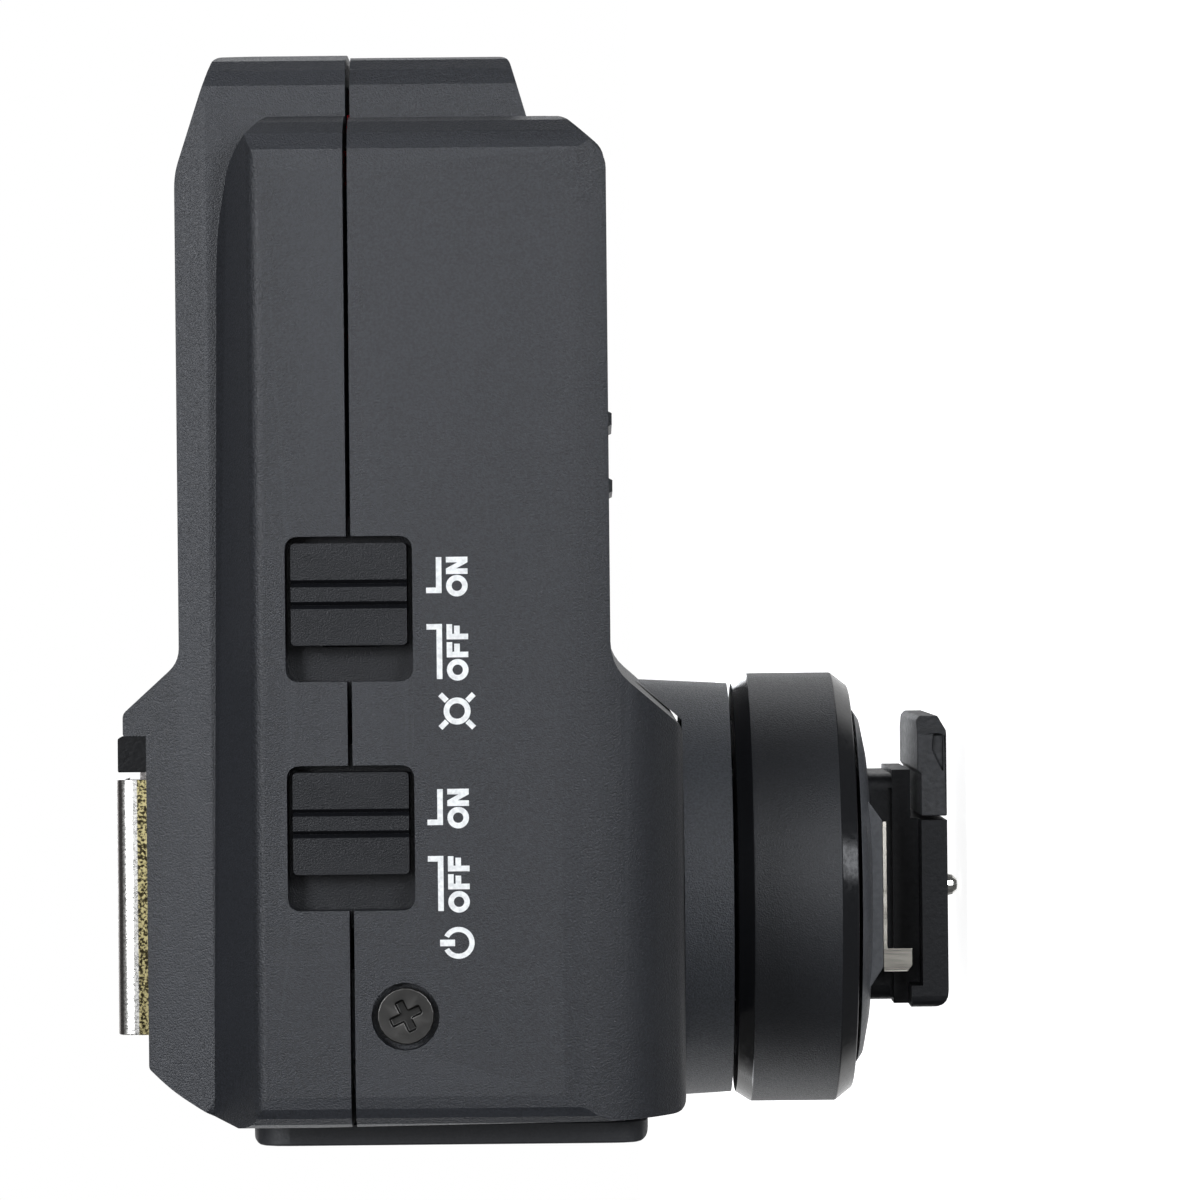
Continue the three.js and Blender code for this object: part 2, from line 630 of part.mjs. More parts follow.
// ---------- Flash shoe ----------
function shoeRails() {
  const base = 54.3;
  const inside = RAIL_HALF_WIDTH - RAIL_THICKNESS;
  const lip = SHOE_SLOT / 2;
  const channel = outline([
    [-RAIL_HALF_WIDTH, base],
    [RAIL_HALF_WIDTH, base],
    [RAIL_HALF_WIDTH, RAIL_TOP_Z, 1.2],
    [lip, RAIL_TOP_Z],
    [lip, RAIL_TOP_Z - RAIL_THICKNESS],
    [inside, RAIL_TOP_Z - RAIL_THICKNESS, 0.6],
    [inside, base + 0.4],
    [-inside, base + 0.4],
    [-inside, RAIL_TOP_Z - RAIL_THICKNESS, 0.6],
    [-lip, RAIL_TOP_Z - RAIL_THICKNESS],
    [-lip, RAIL_TOP_Z],
    [-RAIL_HALF_WIDTH, RAIL_TOP_Z, 1.2],
  ]);
  const holes = SHOE_SCREWS.map(([x, y]) => rod(SHANK_HOLE, 50, 56, "z", [x, y, 0], 12));
  return cut(alongY(channel, RAIL_REAR_Y, RAIL_FRONT_Y), ...holes);
}

function shoeBase() {
  const slab = box([-9.8, 9.8], [RAIL_REAR_Y + 0.3, STOP_REAR_Y + 0.5], [55, SHOE_FLOOR_Z]);
  const stopSide = outline([
    [STOP_REAR_Y, 54.3],
    [9.4, 54.3],
    [9.4, 57.7],
    [9.2, 58.05, 0.15],
    [STOP_REAR_Y, 58.05],
  ]);
  const stop = alongX(stopSide, -10.3, 10.3);
  const heads = SHOE_SCREWS.map(([x, y]) => rod(1.9, 50, 58, "z", [x, y, 0], 16));
  const contactHole = rod(1.9, 50, 58, "z", AT_AXIS, 16);
  return cut(slab.add(stop), ...heads, contactHole);
}

function shoeContact() {
  return turned([[0, 55], [1.6, 55], [1.6, 55.5], [1.2, 55.65], [0, 55.7]], "z", AT_AXIS, 16);
}

// ---------- Screws ----------
// Head at height zero facing down, with a crossed recess, and a shank rising from it.
function screwParts(headRadius, headHeight, shankRadius, length) {
  const head = rod(headRadius, 0, headHeight, "z", [0, 0, 0], 20);
  const shank = rod(shankRadius, headHeight / 2, length, "z", [0, 0, 0], 8);
  const arm = headRadius * 0.56;
  const slotDepth = headHeight * 0.6;
  const slot = box([-arm, arm], [-0.27, 0.27], [-1, slotDepth]);
  return cut(head.add(shank), slot, slot.rotate([0, 0, 90]));
}

// Where each tightened head came to rest.
function screwTurn(index) {
  return 0.3 + 0.8 * index;
}

const caseScrew = screwParts(SCREW_HEAD, 0.9, SCREW_SHANK, 9.5);
const sideScrew = screwParts(SCREW_HEAD, 0.75, SCREW_SHANK, 4.8);
const shoeScrew = screwParts(1.6, 0.5, SCREW_SHANK, 4.6);

// ---------- Switches ----------
const WELL_FLOOR_X = HALF_WIDTH - WALL - GAP;

function switchFloor() {
  const face = rectangle(WELL_LENGTH + 2.6, WELL_HEIGHT + 1, 0.6);
  const plate = alongX(face, WELL_FLOOR_X - 1.2, WELL_FLOOR_X);
  const slotLength = 2.4 + SWITCH_TRAVEL + 2 * GAP;
  const slot = alongX(rectangle(slotLength, 3.6), 20, 40);
  return plate.subtract(slot);
}

// The knob is centred on its own travel position; two grooves cross it on either side of the middle rib.
function switchKnob() {
  const top = HALF_WIDTH - 0.1;
  const cap = alongX(rectangle(KNOB_LENGTH, KNOB_HEIGHT, 0.35), WELL_FLOOR_X + GAP, top);
  const grooves = [-0.7, 0.7].map((y) => {
    const groove = outline([[top - 0.45, y], [top + 0.1, y - 0.28], [top + 0.1, y + 0.28]]);
    return alongZ(groove, -6, 6);
  });
  const stem = box([WELL_FLOOR_X - 1.5, WELL_FLOOR_X + 0.6], [-1.2, 1.2], [-1.5, 1.5]);
  return cut(cap, ...grooves).add(stem);
}

function switchBody() {
  const body = box([29.4, 31.2], [-4.6, 4.6], [-3.6, 3.6]);
  return body.subtract(box([30.4, 32], [-3.2, 3.2], [-1.8, 1.8]));
}

// ---------- Buttons, dial and display ----------
function padButton(width, height) {
  const cap = alongZ(rectangle(width, height, 0.9), 48.4, BUTTON_TOP_Z);
  const flange = alongZ(rectangle(width + 1, height + 1), 48, 48.75);
  return cap.add(flange);
}

function selectorDial() {
  const teeth = 30;
  const edge = Array.from({ length: 2 * teeth }, (_, i) => {
    const angle = (Math.PI * i) / teeth;
    const radius = DIAL.radius - (i % 2 ? 0.3 : 0);
    return [radius * Math.cos(angle), radius * Math.sin(angle)];
  });
  const wheel = alongZ(outline(edge), 48.6, BUTTON_TOP_Z);
  const hub = rod(DIAL.bore + 0.4, 48.5, 49.6, "z", [0, 0, 0], 24);
  const well = rod(DIAL.bore, 49.6, 60, "z", [0, 0, 0], 24);
  return cut(wheel.add(hub), well, rod(1.6, 40, 60, "z", [0, 0, 0], 16));
}

function setButton() {
  const profile = [[0, 48.9], [1.2, 48.9], [1.2, 49.95], [2.8, 49.95], [2.8, 51], [2.5, 51.25], [0, 51.3]];
  return turned(profile, "z", [0, 0, 0], 20);
}

function displayWindow() {
  const { x, y, width, height } = DISPLAY;
  return alongZ(rectangle(width, height, 1.2, x, y), CONTROL_FLOOR_Z - WALL, CONTROL_FLOOR_Z + 0.1);
}

function displayModule() {
  return alongZ(rectangle(DISPLAY.width + 3, DISPLAY.height + 2, 0.4, DISPLAY.x, DISPLAY.y), 46.8, 48.8);
}

function keyMat() {
  const left = GROUP_BUTTONS.x - 3.6;
  return alongZ(
    outline([[left, 18], [12.3, 18], [12.3, 22.3], [-21.6, 22.3], [-21.6, 45.2], [left, 45.2]]),
    46.6,
    47.3,
  );
}

// ---------- Electronics ----------
function mainBoard() {
  return alongZ(
    outline([
      [-20, -12.4],
      [20, -12.4],
      [20, 13],
      [28.6, 14],
      [28.6, 46.3],
      [-28.6, 46.3],
      [-28.6, 14],
      [-20, 13],
    ]),
    44.6,
    46.2,
  );
}

function radioModule() {
  const base = box([-18, -1], [-10, 7], [46.5, 47.2]);
  const can = box([-17, -2], [-9, 3], [47, 49.2]);
  return base.add(can);
}

function encoderBody() {
  return alongZ(rectangle(12.4, 12.4, 0.8, DIAL.x, DIAL.y), 46.5, 48.2);
}

function usbPort() {
  const [inner, mouth] = [-28.4, -34.7];
  const shell = alongX(rectangle(USB.width, USB.height, 1.5, USB.y, USB.z), mouth, inner);
  const opening = rectangle(USB.width - 0.7, USB.height - 0.7, 1.2, USB.y, USB.z);
  const hollow = alongX(opening, mouth - 1, inner - 0.6);
  const tongue = box([mouth + 0.8, inner], [USB.y - 3.3, USB.y + 3.3], [USB.z - 0.35, USB.z + 0.35]);
  return shell.subtract(hollow).add(tongue);
}

function syncJack() {
  const at = [0, JACK.y, JACK.z];
  const barrel = rod(JACK.radius, -34.7, -27.2, "x", at, 20);
  return barrel.subtract(rod(JACK.bore, -36, -28.2, "x", at, 16));
}

// ---------- Battery bay ----------
function batteryTray() {
  const outer = box([-TRAY_HALF_WIDTH, TRAY_HALF_WIDTH], [16.3, 47.1], [FRONT_BASE_Z + WALL + GAP, 40.4]);
  const inner = box([-BAY_HALF_WIDTH, BAY_HALF_WIDTH], [17.2, 46.2], [20, 39.6]);
  return outer.subtract(inner);
}

// A cell along X with its raised terminal towards +X.
function cell() {
  const end = CELL_LENGTH / 2;
  const negative = [[0, -end], [CELL_RADIUS - 0.4, -end], [CELL_RADIUS, -end + 0.4]];
  const nub = [[2.6, end], [2.6, end + 1], [0, end + 1]];
  const positive = [[CELL_RADIUS, end - 0.4], [CELL_RADIUS - 0.6, end], ...nub];
  return turned([...negative, ...positive], "x", [0, 0, 0], 32);
}

// A plate against the bay's end wall with a stub that reaches for the cell.
function terminal(y, stubRadius, stubLength) {
  const plate = box([-27.7, -27.3], [y - 4.5, y + 4.5], [CELL_Z - 4.5, CELL_Z + 4.5]);
  return plate.add(rod(stubRadius, -27.4, -27.4 + stubLength, "x", [0, y, CELL_Z], 12));
}

function cellLink() {
  const plate = box([27.3, 27.7], [CELLS.rear - 4.5, CELLS.front + 4.5], [CELL_Z - 4, CELL_Z + 4]);
  const spring = rod(2.6, 25, 27.4, "x", [0, CELLS.front, CELL_Z], 12);
  const button = rod(2.2, 26.4, 27.4, "x", [0, CELLS.rear, CELL_Z], 12);
  return join(plate, spring, button);
}

// A cover that slides under the bay and wraps up the lower front corner, a little proud of the casing there.
function batteryDoor() {
  const half = BAY_HALF_WIDTH - GAP;
  const base = FRONT_BASE_Z + 0.1;
  const front = FRONT_Y + 0.8;
  const side = outline([
    [17.6, base, 0.3],
    [front - 2.5, base, 0.8],
    [front - 0.1, base + 2.7, 0.5],
    [front, DOOR_TOP_Z, 0.2],
    [front - 1.35, DOOR_TOP_Z],
    [front - 1.45, base + 3.3, 0.8],
    [front - 3.4, base + 1.3, 0.8],
    [17.6, base + 1.3],
  ]);
  const plan = rectangle(2 * half, 60, 2.4, 0, front - 30);
  const leaf = alongX(side, -half, half).intersect(alongZ(plan, 0, 40));
  const ridges = [31.3, 26.6].map((y) => {
    const crest = [[y - 0.4, base - 0.4], [y + 0.4, base - 0.4]];
    const ridge = outline([[y - 0.7, base + 0.2], ...crest, [y + 0.7, base + 0.2]]);
    return alongX(ridge, -9, 9);
  });
  return join(leaf, ...ridges);
}

// ---------- Assembly ----------
const trigger = new THREE.Group();
trigger.name = "wireless_flash_trigger";

function geometryOf(solid) {
  const { vertProperties, triVerts } = solid.getMesh();
  const indexed = new THREE.BufferGeometry();
  indexed.setAttribute("position", new THREE.BufferAttribute(vertProperties, 3));
  indexed.setIndex(new THREE.BufferAttribute(triVerts, 1));
  const faceted = indexed.toNonIndexed();
  faceted.computeVertexNormals();
  return faceted;
}

function addMesh(name, solid, material, parent = trigger) {
  const mesh = new THREE.Mesh(geometryOf(solid), material);
  mesh.name = name;
  parent.add(mesh);
  return mesh;
}

const outerBody = wideBody().add(coreBody());
addMesh("top_shell", topShell(outerBody), casingPlastic);
addMesh("bottom_shell", bottomShell(outerBody), casingPlastic);
addMesh("rear_panel", rearPanel(), smoothPlastic);
addMesh("test_button", testButton(), buttonRubber);
addMesh("status_lamp", statusLamp(), lampPlastic);
addMesh("assist_lamp_window", assistWindow(), redPlastic);
addMesh("assist_lamp_led", assistLed(), redPlastic);

addMesh("foot", foot(), footPlastic);
addMesh("foot_contact_block", footContactBlock(), footPlastic);
addMesh("centre_contact_pin", contactPin(), steel);
addMesh("contact_spring", contactSpring(), steel);
addMesh("clamp_disc", clampDisc(), footPlastic);
addMesh("clamp_plate_right", clampPlate(1), steel);
addMesh("clamp_plate_left", clampPlate(-1), steel);
addMesh("lock_ring", lockRing(), ringPlastic);
addMesh("cam_sleeve", camSleeve(), footPlastic);
addMesh("neck_collar", neckCollar(), casingPlastic);

addMesh("shoe_rails", shoeRails(), steel);
addMesh("shoe_base", shoeBase(), footPlastic);
addMesh("shoe_contact", shoeContact(), goldPlate);
SHOE_SCREWS.forEach(([x, y], i) => {
  const screw = addMesh(`shoe_screw_${i + 1}`, shoeScrew, blackScrew);
  screw.position.set(x, y, SHOE_FLOOR_Z - 0.05);
  screw.rotation.x = Math.PI;
  screw.rotation.z = screwTurn(i);
});
CASE_SCREWS.forEach(([x, y], i) => {
  const screw = addMesh(`case_screw_${i + 1}`, caseScrew, blackScrew);
  screw.position.set(x, y, REAR_BASE_Z + 0.4);
  screw.rotation.z = screwTurn(i + 2);
});
[["side_screw_right", 1], ["side_screw_left", -1]].forEach(([name, side]) => {
  const screw = addMesh(name, sideScrew, blackScrew);
  screw.position.set(side * (HALF_WIDTH - 0.28), SIDE_SCREW.y, SIDE_SCREW.z);
  screw.rotation.y = (-side * Math.PI) / 2;
  screw.rotation.z = SIDE_SCREW.turn;
});

Object.entries(SWITCHES).forEach(([name, y]) => {
  const station = new THREE.Group();
  station.position.set(0, y, SEAM_Z);
  trigger.add(station);
  addMesh(`${name}_switch_floor`, switchFloor(), knobPlastic, station);
  addMesh(`${name}_switch_body`, switchBody(), partBlack, station);
  addMesh(`${name}_switch_knob`, switchKnob(), knobPlastic, station).position.y = SWITCH_TRAVEL / 2;
});

groupPads.forEach(({ x, y, width, height }, i) => {
  addMesh(`group_button_${i + 1}`, padButton(width, height), buttonRubber).position.set(x, y, 0);
});
functionPads.forEach(({ x, y, width, height }, i) => {
  addMesh(`function_button_${i + 1}`, padButton(width, height), buttonRubber).position.set(x, y, 0);
});
const dialStation = new THREE.Group();
dialStation.position.set(DIAL.x, DIAL.y, 0);
trigger.add(dialStation);
addMesh("selector_dial", selectorDial(), knobPlastic, dialStation);
addMesh("set_button", setButton(), buttonRubber, dialStation);
addMesh("display_window", displayWindow(), clearPlastic);
addMesh("display_module", displayModule(), displayGlass);
addMesh("key_mat", keyMat(), buttonRubber);

addMesh("main_board", mainBoard(), boardGreen);
addMesh("radio_module", radioModule(), steel);
addMesh("encoder_body", encoderBody(), partBlack);
addMesh("usb_port", usbPort(), steel);
addMesh("sync_jack", syncJack(), partBlack);

addMesh("battery_tray", batteryTray(), partBlack);
addMesh("battery_cell_rear", cell(), cellJacket).position.set(0, CELLS.rear, CELL_Z);
const frontCell = addMesh("battery_cell_front", cell(), cellJacket);
frontCell.position.set(0, CELLS.front, CELL_Z);
frontCell.rotation.z = Math.PI;
addMesh("battery_terminal_negative", terminal(CELLS.rear, 2.6, 2.4), steel);
addMesh("battery_terminal_positive", terminal(CELLS.front, 2.2, 0.8), steel);
addMesh("battery_link", cellLink(), steel);
addMesh("battery_door", batteryDoor(), casingPlastic);

export default trigger;
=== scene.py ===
import json
import math

import bmesh
import bpy
from mathutils import Matrix, Vector


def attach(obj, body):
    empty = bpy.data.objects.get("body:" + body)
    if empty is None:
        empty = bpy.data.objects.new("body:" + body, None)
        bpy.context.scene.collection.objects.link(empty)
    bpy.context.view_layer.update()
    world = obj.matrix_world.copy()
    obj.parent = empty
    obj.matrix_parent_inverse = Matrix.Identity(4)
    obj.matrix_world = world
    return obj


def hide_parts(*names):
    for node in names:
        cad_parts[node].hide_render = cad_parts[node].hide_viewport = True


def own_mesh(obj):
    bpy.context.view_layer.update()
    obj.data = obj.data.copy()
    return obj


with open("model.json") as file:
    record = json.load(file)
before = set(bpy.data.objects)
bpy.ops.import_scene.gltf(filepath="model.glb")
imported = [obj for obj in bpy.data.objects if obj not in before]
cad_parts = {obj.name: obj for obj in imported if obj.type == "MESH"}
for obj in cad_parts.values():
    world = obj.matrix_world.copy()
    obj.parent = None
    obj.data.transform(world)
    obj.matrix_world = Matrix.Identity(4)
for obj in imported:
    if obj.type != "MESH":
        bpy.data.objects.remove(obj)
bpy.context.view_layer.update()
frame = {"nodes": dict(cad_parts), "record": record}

# A wireless flash trigger. Most CAD nodes that show are rebuilt as finely rounded pieces; the others keep their CAD
# mesh and get a material. Metres, +Z up out of the camera's shoe, +Y to the subject, +X the switch side.
MM = 0.001
scene = bpy.context.scene
nodes = frame["nodes"]

# ---------- Camera: a side view of the +X side, with the nose up in the picture ----------
CAMERA_DISTANCE = 0.325
CAMERA_AIM = (0.01858, 0.0242)  # Y and Z on the optical axis
CAMERA_ROLL = 0.010  # radians that the object leans in the picture
camera_data = bpy.data.cameras.new("camera")
camera_data.sensor_width = 36
camera_data.lens = 135
camera_data.clip_start, camera_data.clip_end = 0.01, 20
camera = bpy.data.objects.new("camera", camera_data)
scene.collection.objects.link(camera)
scene.camera = camera
lean_cos, lean_sin = math.cos(CAMERA_ROLL), math.sin(CAMERA_ROLL)
camera_right = Vector((0, -lean_sin, -lean_cos))
camera_up = Vector((0, lean_cos, -lean_sin))
camera_back = Vector((1, 0, 0))
turn = Matrix((camera_right, camera_up, camera_back)).transposed()
camera.matrix_world = Matrix.Translation((CAMERA_DISTANCE, *CAMERA_AIM)) @ turn.to_4x4()


# ---------- Node material helpers ----------
EDGE_FROM, EDGE_FULL = 0.52, 0.58  # pointiness at which an edge starts to turn paler, and is fully pale: worn on the plastics, a painted highlight, partly wear, on the screw heads
GLOSS_SPREAD = 0.07  # how far a plastic's roughness strays from its mean to each side


class Finish:
    """A node material under construction: one Principled shader and helpers that add detail to it."""

    def __init__(self, name, color, roughness, **values):
        self.material = bpy.data.materials.new(name)
        self.material.use_nodes = True
        self.tree = self.material.node_tree
        self.shader = self.tree.nodes["Principled BSDF"]
        self.color = (*color, 1)
        self.set("Base Color", self.color)
        self.set("Roughness", roughness)
        for socket, value in values.items():
            self.set(socket.replace("_", " "), value)
        self.normal = None
        self.position = self.add("ShaderNodeTexCoord").outputs["Object"]

    def set(self, socket, value):
        self.shader.inputs[socket].default_value = value

    def add(self, kind, **settings):
        node = self.tree.nodes.new(kind)
        for key, value in settings.items():
            setattr(node, key, value)
        return node

    def link(self, source, target):
        self.tree.links.new(source, target)

    def noise(self, scale, detail=2.0, stretch=None):
        node = self.add("ShaderNodeTexNoise")
        node.inputs["Scale"].default_value = scale
        node.inputs["Detail"].default_value = detail
        source = self.position
        if stretch:
            mapping = self.add("ShaderNodeMapping")
            mapping.inputs["Scale"].default_value = stretch
            self.link(source, mapping.inputs["Vector"])
            source = mapping.outputs["Vector"]
        self.link(source, node.inputs["Vector"])
        return node.outputs["Fac"]

    def ranged(self, source, low, high, out_low, out_high):
        node = self.add("ShaderNodeMapRange")
        self.link(source, node.inputs["Value"])
        for socket, value in zip(("From Min", "From Max", "To Min", "To Max"), (low, high, out_low, out_high)):
            node.inputs[socket].default_value = value
        return node.outputs["Result"]

    def mix(self, factor, first, second):
        node = self.add("ShaderNodeMix", data_type="RGBA")
        self.link(factor, node.inputs["Factor"])
        for socket, value in (("A", first), ("B", second)):
            target = [i for i in node.inputs if i.name == socket and i.type == "RGBA"][0]
            if isinstance(value, tuple):
                target.default_value = value
            else:
                self.link(value, target)
        return [o for o in node.outputs if o.type == "RGBA"][0]

    def bump(self, source, height):
        """Adds a relief of that height in metres on top of what is there."""
        node = self.add("ShaderNodeBump")
        node.inputs["Strength"].default_value = 1
        node.inputs["Distance"].default_value = height
        self.link(source, node.inputs["Height"])
        if self.normal:
            self.link(self.normal, node.inputs["Normal"])
        self.normal = node.outputs["Normal"]
        self.link(self.normal, self.shader.inputs["Normal"])

    def vary_color(self, source, low, high, darker, lighter):
        """Colour runs from darker to lighter times the base as source runs from low to high."""
        factor = self.ranged(source, low, high, 0, 1)
        base = self.color[:3]
        first = (*[c * darker for c in base], 1)
        second = (*[min(c * lighter, 1) for c in base], 1)
        mixed = self.mix(factor, first, second)
        self.link(mixed, self.shader.inputs["Base Color"])
        return mixed

    def vary_roughness(self, source, low, high, rough_low, rough_high):
        self.link(self.ranged(source, low, high, rough_low, rough_high), self.shader.inputs["Roughness"])

    def edge_wear_and_glint(self, base, wear_and_glint, amount):
        """Lightens the convex edges a little: handling wear on the plastics; on the screw heads a painted highlight
        on the rim and cross, partly wear.
        """
        pointiness = self.add("ShaderNodeNewGeometry").outputs["Pointiness"]
        factor = self.ranged(pointiness, EDGE_FROM, EDGE_FULL, 0, amount)
        self.link(self.mix(factor, base, (*wear_and_glint, 1)), self.shader.inputs["Base Color"])


def moulded(name, color, roughness, grain, grain_height, mottling=0.12, wear=0.25, shine=0.5):
    """Spark-eroded plastic: a fine pebbled grain, slight mottling of colour and gloss, and paler edges."""
    f = Finish(name, color, roughness, Specular_IOR_Level=shine)
    grains = f.noise(grain, 3)
    base = f.vary_color(f.noise(grain * 0.7, 2), 0.35, 0.65, 1 - mottling, 1 + mottling)
    f.edge_wear_and_glint(base, [min(c * 1.8 + 0.01, 1) for c in color], wear)
    f.vary_roughness(grains, 0.35, 0.65, roughness - GLOSS_SPREAD, roughness + GLOSS_SPREAD)
    f.bump(grains, grain_height)
    f.bump(f.noise(45, 2), 0.00004)
    return f.material


def metal(name, color, roughness, stretch, relief, tint=0.12, wear_and_glint=None):
    """Plated metal with fine streaks along the axis of the smallest stretch, and paler edges if a pale edge colour
    is given; on the screw heads these paler edges are a painted highlight, partly wear.
    """
    f = Finish(name, color, roughness, Metallic=1.0)
    streaks = f.noise(1500, 3, stretch)
    base = f.vary_color(f.noise(260, 4), 0.3, 0.7, 1 - tint, 1 + tint * 0.4)
    if wear_and_glint:
        f.edge_wear_and_glint(base, wear_and_glint, 0.3)
    f.vary_roughness(streaks, 0.3, 0.7, max(roughness - 0.08, 0.04), roughness + 0.1)
    f.bump(streaks, relief)
    return f.material


BRASS_REFLECTION_FROM, BRASS_REFLECTION_FULL = 0.05672, 0.05664  # Z where the painted brass-coloured reflection starts, and is full
TOP_REFLECTION_FROM, TOP_REFLECTION_FULL = 0.05770, 0.05778  # the same for the painted dull grey reflection at the very top


def drawn_rail():
    """Bright plated steel, its colour banded by height to paint reflections: a painted dull grey reflection at the
    very top, a mirror band of plain steel, and a painted dark brass-coloured reflection low down.
    """
    f = Finish("shoe_steel", (0.86, 0.84, 0.80), 0.22, Metallic=1.0)
    height = f.add("ShaderNodeSeparateXYZ")
    f.link(f.position, height.inputs["Vector"])
    speckle = f.noise(5200, 2)
    # The bands of colour by height are painted reflections on one steel: dull grey at the very top, dark
    # brass-coloured low down.
    brass_reflection_mask = f.ranged(height.outputs["Z"], BRASS_REFLECTION_FROM, BRASS_REFLECTION_FULL, 0, 1)
    top_reflection_mask = f.ranged(height.outputs["Z"], TOP_REFLECTION_FROM, TOP_REFLECTION_FULL, 0, 1)
    dark_brass_reflection, light_brass_reflection, top_reflection_grey = (0.05, 0.04, 0.02, 1), (0.60, 0.52, 0.26, 1), (0.30, 0.28, 0.27, 1)
    brass_reflection = f.mix(f.ranged(speckle, 0.42, 0.58, 0, 1), dark_brass_reflection, light_brass_reflection)
    bright = f.mix(top_reflection_mask, f.vary_color(speckle, 0.3, 0.7, 0.92, 1.05), top_reflection_grey)
    f.link(f.mix(brass_reflection_mask, bright, brass_reflection), f.shader.inputs["Base Color"])
    f.vary_roughness(speckle, 0.3, 0.7, 0.2, 0.34)
    f.bump(speckle, 0.000004)
    return f.material


shoe_steel = drawn_rail()
casing = moulded("casing_plastic", (0.0125, 0.0138, 0.0172), 0.46, 9000, 0.00005, 0.4)
collar = moulded("collar_plastic", (0.037, 0.040, 0.046), 0.5, 9000, 0.00006, 0.4)
panel = moulded("panel_plastic", (0.022, 0.023, 0.026), 0.5, 7000, 0.000008)
ring_matte = moulded("ring_matte", (0.012, 0.013, 0.0155), 0.5, 9000, 0.00004, 0.25)
ring_gloss = moulded("ring_polished", (0.010, 0.0105, 0.012), 0.16, 3000, 0.000002, 0.05, 0.1)
foot_plastic = moulded("foot_plastic", (0.003, 0.0032, 0.004), 0.5, 3400, 0.00003, 0.25, shine=0.2)
foot_rough = moulded("foot_rough", (0.010, 0.0105, 0.012), 0.65, 2600, 0.00006, 0.35)
disc_plastic = moulded("disc_plastic", (0.08, 0.083, 0.09), 0.45, 5000, 0.000015)
knob_plastic = moulded("knob_plastic", (0.006, 0.0065, 0.008), 0.4, 9000, 0.00004, 0.2, shine=0.27)
rubber = moulded("button_rubber", (0.022, 0.023, 0.025), 0.72, 6500, 0.00001)
inner_plastic = moulded("inner_plastic", (0.012, 0.012, 0.013), 0.5, 4000, 0.00001)
steel = metal("bright_steel", (0.80, 0.76, 0.68), 0.16, (1, 1, 0.1), 0.000003)
contact_metal = metal("nickel", (0.72, 0.71, 0.68), 0.2, (1, 1, 1), 0.000002)
gold = metal("gold_plate", (0.85, 0.62, 0.28), 0.2, (1, 1, 1), 0.000002)
# The screw heads' pale edge colour paints a highlight on their rims and crosses, partly wear.
screw_black = metal("screw_black", (0.05, 0.049, 0.047), 0.36, (1, 1, 1), 0.000006, 0.3, (0.55, 0.53, 0.50))
port_metal = metal("port_metal", (0.5, 0.5, 0.5), 0.3, (1, 0.1, 1), 0.000002)


def tinted_pane(name, color, roughness, transmission):
    """A clear or coloured window with faint smears in its gloss."""
    f = Finish(name, color, roughness, Transmission_Weight=transmission, IOR=1.49)
    smears = f.noise(120, 4)
    f.vary_roughness(smears, 0.4, 0.75, roughness, roughness + 0.06)
    f.vary_color(smears, 0.3, 0.7, 0.94, 1.04)
    return f.material


window_pane = tinted_pane("window_pane", (0.75, 0.78, 0.8), 0.03, 0.92)
red_pane = tinted_pane("red_pane", (0.30, 0.006, 0.01), 0.06, 0.6)
lamp_pane = tinted_pane("lamp_pane", (0.80, 0.84, 0.80), 0.25, 0.5)


def board_material():
    """Green solder mask, slightly mottled."""
    f = Finish("solder_mask", (0.015, 0.09, 0.04), 0.35)
    f.vary_color(f.noise(900, 2), 0.45, 0.55, 0.8, 1.25)
    f.bump(f.noise(500, 1), 0.00002)
    return f.material


def crystal_material():
    """The unlit liquid-crystal panel: grey-green with a fine pixel grid."""
    f = Finish("liquid_crystal", (0.23, 0.27, 0.22), 0.28)
    waves = []
    for axis in ("X", "Y"):
        wave = f.add("ShaderNodeTexWave", wave_type="BANDS", bands_direction=axis)
        wave.inputs["Scale"].default_value = 900
        f.link(f.position, wave.inputs["Vector"])
        waves.append(wave.outputs["Fac"])
    grid = f.add("ShaderNodeMath", operation="MAXIMUM")
    f.link(waves[0], grid.inputs[0])
    f.link(waves[1], grid.inputs[1])
    f.vary_color(grid.outputs[0], 0.8, 1.0, 1.0, 0.8)
    f.bump(f.noise(60, 1), 0.00001)
    return f.material


BAND_FROM, BAND_FULL = 0.0099, 0.0101  # X where a cell's copper-coloured band starts, and is full


def jacket_material():
    """A cell's printed jacket: a dark body with a copper-coloured band at one end."""
    f = Finish("cell_jacket", (0.03, 0.03, 0.035), 0.35, Metallic=0.3)
    split = f.add("ShaderNodeSeparateXYZ")
    f.link(f.position, split.inputs["Vector"])
    band = f.ranged(split.outputs["X"], BAND_FROM, BAND_FULL, 0, 1)
    copper = (0.45, 0.20, 0.06, 1)
    mixed = f.mix(band, f.vary_color(f.noise(80), 0.4, 0.6, 0.9, 1.1), copper)
    f.link(mixed, f.shader.inputs["Base Color"])
    return f.material


def ink_material():
    """Printed white, a little uneven."""
    f = Finish("white_ink", (0.80, 0.81, 0.80), 0.6)
    f.vary_color(f.noise(3500, 2), 0.3, 0.6, 0.82, 1.04)
    f.bump(f.noise(5200, 2), 0.00001)
    return f.material


circuit_board = board_material()
crystal = crystal_material()
cell_jacket = jacket_material()
white_ink = ink_material()


# ---------- Mesh helpers ----------
WELD_DISTANCE = 2e-6
SLIVER_LENGTH = 1e-6
COPLANAR_DEGREES = 0.6  # triangles that meet at less than this become one face
BROAD_FACE = 60 * MM * MM  # flat faces larger than this keep their own normal
LEVEL_FACE = 0.02 * MM * MM  # the same for faces square to an axis
SQUARE = 0.99999  # the largest part of a normal that counts as square to an axis

slot_of = {row["node"]: row["material_slot"] for row in frame["record"]["subparts"]}
body_of = {node: body for body, members in frame["record"]["behaviour"]["bodies"].items() for node in members}


def new_object(name, mesh, material, body):
    piece = bpy.data.objects.new(name, mesh)
    scene.collection.objects.link(piece)
    mesh.materials.clear()
    mesh.materials.append(material)
    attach(piece, body)
    return piece


